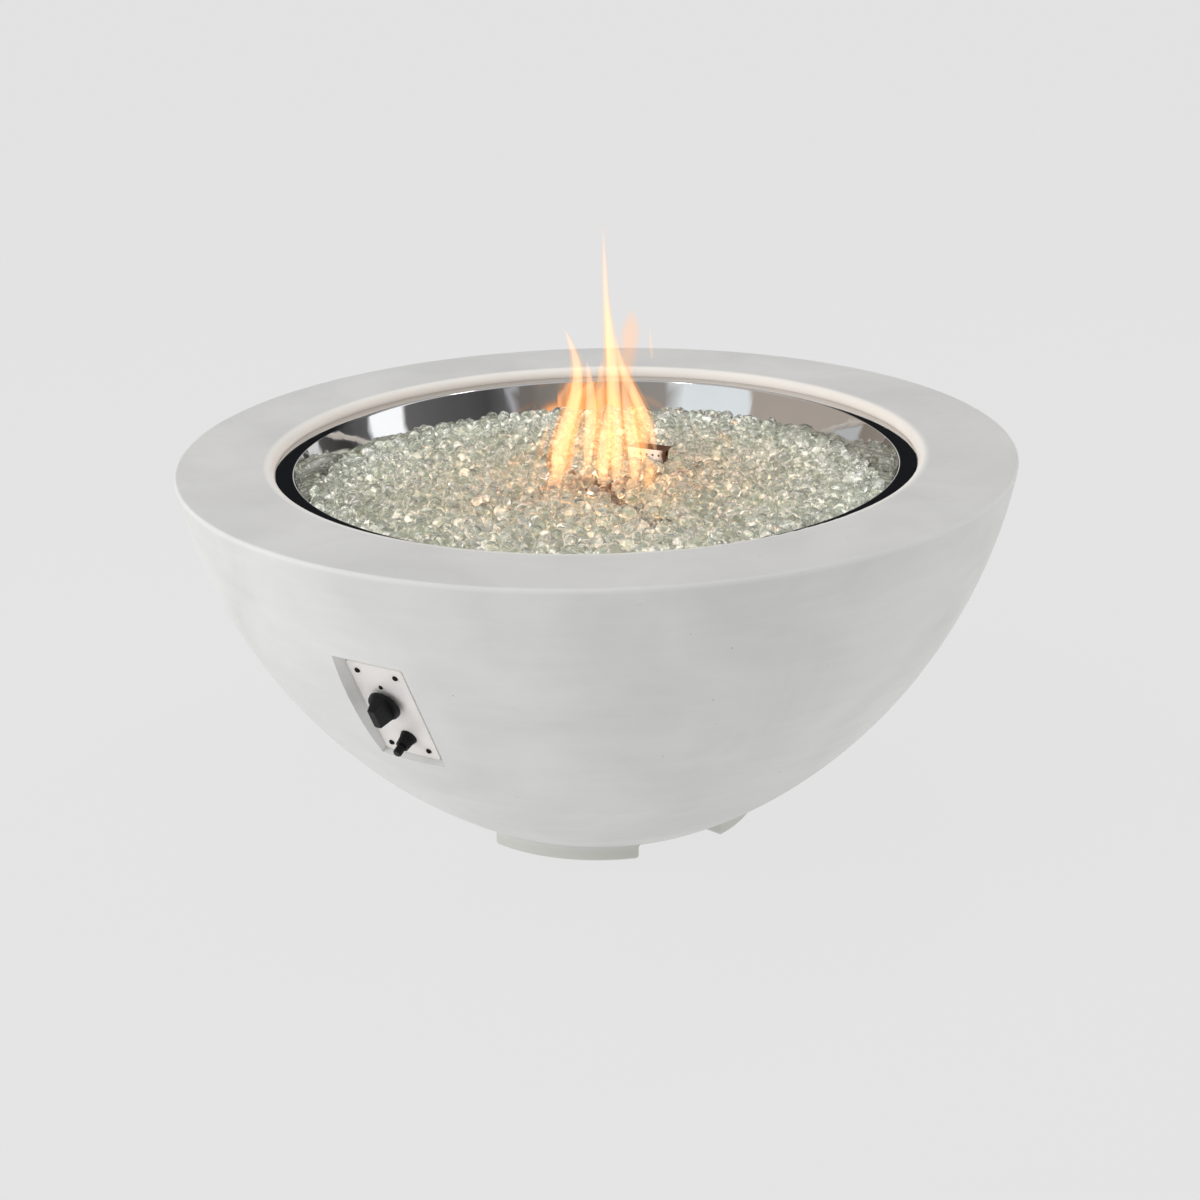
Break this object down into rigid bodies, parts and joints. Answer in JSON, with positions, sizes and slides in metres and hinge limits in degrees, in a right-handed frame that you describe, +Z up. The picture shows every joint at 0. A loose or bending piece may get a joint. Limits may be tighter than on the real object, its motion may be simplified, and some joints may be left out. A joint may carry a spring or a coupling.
{
  "type": "gas fire pit bowl",
  "caption": "Round cast concrete gas fire pit bowl on arc feet, with a drop-in burner pan of glass gems, a cross burner and a sunken panel with a gas knob and igniter.",
  "frame": {"origin": "centre of the bowl on the floor, level with the underside of the feet", "axes": "+Z up along the bowl's axis, -Y out through the middle of the control panel, +X to the right of someone who faces the panel"},
  "size_m": [1.0712, 1.0714, 0.489],
  "materials": {
    "concrete": "pale glass-fibre concrete, fine matt with small air holes",
    "brass": "turned brass",
    "valve_brass": "forged and tumbled brass",
    "polished_stainless": "polished stainless sheet",
    "panel_steel": "brushed stainless plate",
    "stainless": "plain stainless sheet",
    "black_steel": "black oxide",
    "bright_steel": "bright plated steel",
    "spring_steel": "spring wire",
    "hose_steel": "corrugated stainless tube",
    "black_plastic": "moulded black, satin",
    "button_plastic": "moulded black, satin",
    "lead_rubber": "silicone sleeve",
    "heat_tinted_steel": "stainless browned by heat",
    "gasket_fibre": "pressed fibre",
    "aluminium": "die cast",
    "ceramic": "white alumina",
    "copper": "drawn copper",
    "clear_glass": "clear tumbled glass"
  },
  "bodies": {
    "fire_pit": {"bowl_shell": "concrete", "panel_inserts": "brass", "burner_pan": "polished_stainless", "control_panel": "panel_steel", "panel_screws": "black_steel", "gas_valve": "valve_brass", "valve_screws": "black_steel", "plunger_spring": "spring_steel", "magnet_unit": "brass", "inlet_fitting": "brass", "outlet_nut": "brass", "gas_hose": "hose_steel", "igniter_body": "black_plastic", "igniter_nut": "black_steel", "button_spring": "spring_steel", "igniter_lead": "lead_rubber", "burner_hub": "heat_tinted_steel", "burner_arms": "heat_tinted_steel", "arm_caps": "heat_tinted_steel", "pan_gasket": "gasket_fibre", "burner_nipple": "bright_steel", "pan_washer": "bright_steel", "pan_locknut": "bright_steel", "air_mixer": "aluminium", "gas_orifice": "brass", "orifice_nut": "brass", "pilot_bracket": "stainless", "pilot_hood": "stainless", "hood_screws": "bright_steel", "bracket_screws": "bright_steel", "spark_insulator": "ceramic", "spark_electrode": "bright_steel", "thermocouple": "copper", "thermocouple_nut": "brass", "thermocouple_lead": "copper", "glass_bed": "clear_glass", "glass_gems": "clear_glass"},
    "valve_plunger": {"valve_plunger": "bright_steel"},
    "knob": {"gas_knob": "black_plastic", "valve_stem": "bright_steel"},
    "igniter_button": {"igniter_button": "button_plastic"}
  },
  "joints": [
    {"name": "knob_push", "type": "slide", "parent": "fire_pit", "child": "valve_plunger", "axis": [0, 0.8939, 0.4483], "range_m": [0, 0.005], "stiffness_N_per_m": 900, "springref_m": -0.002, "deforming": ["plunger_spring"]},
    {"name": "knob_turn", "type": "hinge", "parent": "valve_plunger", "child": "knob", "pos_m": [-0.0025, -0.45672, 0.30233], "axis": [0, -0.8939, -0.4483], "range_deg": [-90, 90]},
    {"name": "igniter_press", "type": "slide", "parent": "fire_pit", "child": "igniter_button", "axis": [0, 0.8939, 0.4483], "range_m": [0, 0.006], "stiffness_N_per_m": 700, "springref_m": -0.003, "deforming": ["button_spring"]}
  ]
}
